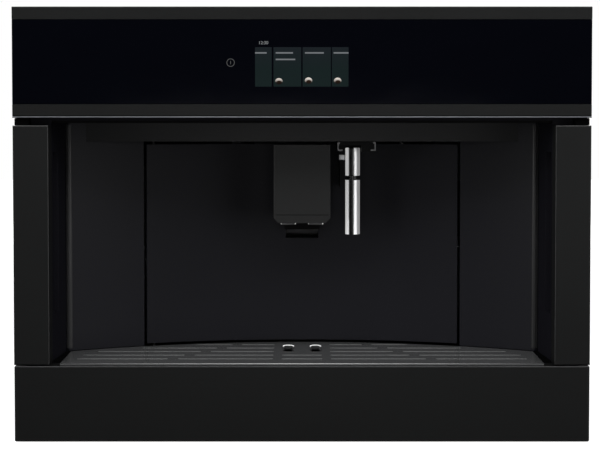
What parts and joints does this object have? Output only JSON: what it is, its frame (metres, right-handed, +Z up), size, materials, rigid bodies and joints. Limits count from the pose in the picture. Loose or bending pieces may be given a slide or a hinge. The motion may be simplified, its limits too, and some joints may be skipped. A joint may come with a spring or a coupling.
{
  "type": "built-in coffee machine",
  "caption": "Built-in bean-to-cup coffee machine with a black glass control panel, a curved cup niche, a height-adjustable spout, a steam wand and a lift-out drip tray, on pull-out rails.",
  "frame": {"origin": "middle of the footprint, at the level of the cabinet floor", "axes": "+X to the right along the front, +Y from the front to the rear, +Z up"},
  "size_m": [0.595, 0.47, 0.45],
  "materials": {
    "dark_steel": "fine satin, dark",
    "polished_trim": "polished",
    "black_glass": "gloss, opaque black behind",
    "screen": "gloss",
    "circuit_board": "lacquered board",
    "niche_plastic": "fine matt grain",
    "cheek_plastic": "matt",
    "door_plastic": "fine matt grain",
    "well_plastic": "matt",
    "spout_plastic": "satin",
    "chrome": "mirror polished",
    "tray_metal": "dark, polished",
    "zinc_sheet": "zinc-coated sheet",
    "rail_steel": "zinc plated",
    "lamp_lens": "frosted",
    "smoked_plastic": "smoked",
    "clear_plastic": "clear",
    "black_plastic": "matt",
    "pale_plastic": "satin",
    "grey_plastic": "satin",
    "motor_steel": "lacquered",
    "burr_steel": "ground",
    "boiler_metal": "cast",
    "pump_metal": "turned",
    "pipe_metal": "drawn tube",
    "switch_plastic": "gloss"
  },
  "bodies": {
    "cabinet_rails": {"base_plate": "zinc_sheet", "outer_rails": "rail_steel"},
    "middle_slides": {"middle_rails": "rail_steel"},
    "machine": {"inner_rails": "rail_steel", "chassis_floor": "zinc_sheet", "left_side_sheet": "zinc_sheet", "right_side_sheet": "zinc_sheet", "rear_panel": "zinc_sheet", "top_cover": "zinc_sheet", "front_frame": "cheek_plastic", "inner_frame": "zinc_sheet", "control_housing": "dark_steel", "control_glass": "black_glass", "accent_strip": "polished_trim", "display_module": "screen", "control_board": "circuit_board", "left_grip_panel": "dark_steel", "right_grip_panel": "dark_steel", "lower_panel": "dark_steel", "left_cheek": "cheek_plastic", "right_cheek": "cheek_plastic", "left_niche_wall": "niche_plastic", "right_niche_wall": "niche_plastic", "niche_ceiling": "well_plastic", "lintel": "niche_plastic", "niche_lamps": "lamp_lens", "tray_well": "well_plastic", "power_inlet": "black_plastic", "switch_case": "black_plastic", "case_screws": "rail_steel", "bean_hopper": "smoked_plastic", "grinder_housing": "black_plastic", "grinder_motor": "motor_steel", "upper_burr": "burr_steel", "brew_unit": "grey_plastic", "grounds_container": "black_plastic", "coffee_boiler": "boiler_metal", "steam_boiler": "boiler_metal", "pump": "pump_metal", "tank_seat": "black_plastic", "water_pipes": "pipe_metal"},
    "service_door": {"door_panel": "door_plastic", "door_back": "black_plastic", "hinge_pins": "rail_steel", "wand_bracket": "black_plastic", "wand_knob": "pale_plastic"},
    "coffee_spout": {"spout_cover": "spout_plastic", "spout_carriage": "black_plastic", "spout_nozzles": "chrome"},
    "steam_wand": {"wand_sleeve": "chrome", "wand_tube": "chrome"},
    "drip_tray": {"drip_bowl": "black_plastic"},
    "tray_grid": {"drip_grid": "tray_metal"},
    "bean_cover": {"bean_lid": "smoked_plastic"},
    "tank": {"water_tank": "clear_plastic"},
    "tank_cover": {"tank_lid": "black_plastic"},
    "grind_setting": {"grind_knob": "black_plastic"},
    "rocker": {"main_switch": "switch_plastic"},
    "spinning_burr": {"lower_burr": "burr_steel"},
    "piston": {"brew_piston": "grey_plastic"}
  },
  "joints": [
    {"name": "machine_slide", "type": "slide", "parent": "cabinet_rails", "child": "machine", "axis": [0, -1, 0], "range_m": [0, 0.3]},
    {"name": "middle_slide", "type": "slide", "parent": "cabinet_rails", "child": "middle_slides", "axis": [0, -1, 0], "range_m": [0, 0.15]},
    {"name": "service_door_hinge", "type": "hinge", "parent": "machine", "child": "service_door", "pos_m": [-0.1654, -0.11195, 0.0785], "axis": [0, 0, 1], "range_deg": [-95, 0]},
    {"name": "spout_height", "type": "slide", "parent": "service_door", "child": "coffee_spout", "axis": [0, 0, 1], "range_m": [-0.055, 0]},
    {"name": "wand_swing", "type": "hinge", "parent": "service_door", "child": "steam_wand", "pos_m": [0.0555, -0.135, 0.291], "axis": [-1, 0, 0], "range_deg": [0, 60]},
    {"name": "tray_lift", "type": "slide", "parent": "machine", "child": "drip_tray", "axis": [0, 0, 1], "range_m": [0, 0.08]},
    {"name": "grid_lift", "type": "slide", "parent": "drip_tray", "child": "tray_grid", "axis": [0, 0, 1], "range_m": [0, 0.04]},
    {"name": "bean_lid_hinge", "type": "hinge", "parent": "machine", "child": "bean_cover", "pos_m": [-0.157, 0.185, 0.4407], "axis": [-1, 0, 0], "range_deg": [0, 100]},
    {"name": "tank_lift", "type": "slide", "parent": "machine", "child": "tank", "axis": [0, 0, 1], "range_m": [0, 0.2]},
    {"name": "tank_lid_lift", "type": "slide", "parent": "tank", "child": "tank_cover", "axis": [0, 0, 1], "range_m": [0, 0.03]},
    {"name": "grind_knob_turn", "type": "hinge", "parent": "machine", "child": "grind_setting", "pos_m": [-0.04, 0.095, 0.44], "axis": [0, 0, 1], "range_deg": [-135, 135]},
    {"name": "main_switch_rock", "type": "hinge", "parent": "machine", "child": "rocker", "pos_m": [0.145, 0.221, 0.058], "axis": [1, 0, 0], "range_deg": [0, 12]},
    {"name": "burr_spin", "type": "hinge", "parent": "machine", "child": "spinning_burr", "pos_m": [-0.157, 0.096, 0.3], "axis": [0, 0, 1], "continuous": true},
    {"name": "piston_slide", "type": "slide", "parent": "machine", "child": "piston", "axis": [0, 0, 1], "range_m": [0, 0.05]}
  ],
  "couplings": [
    {"joint": "middle_slide", "follows": "machine_slide", "ratio": 0.5}
  ]
}
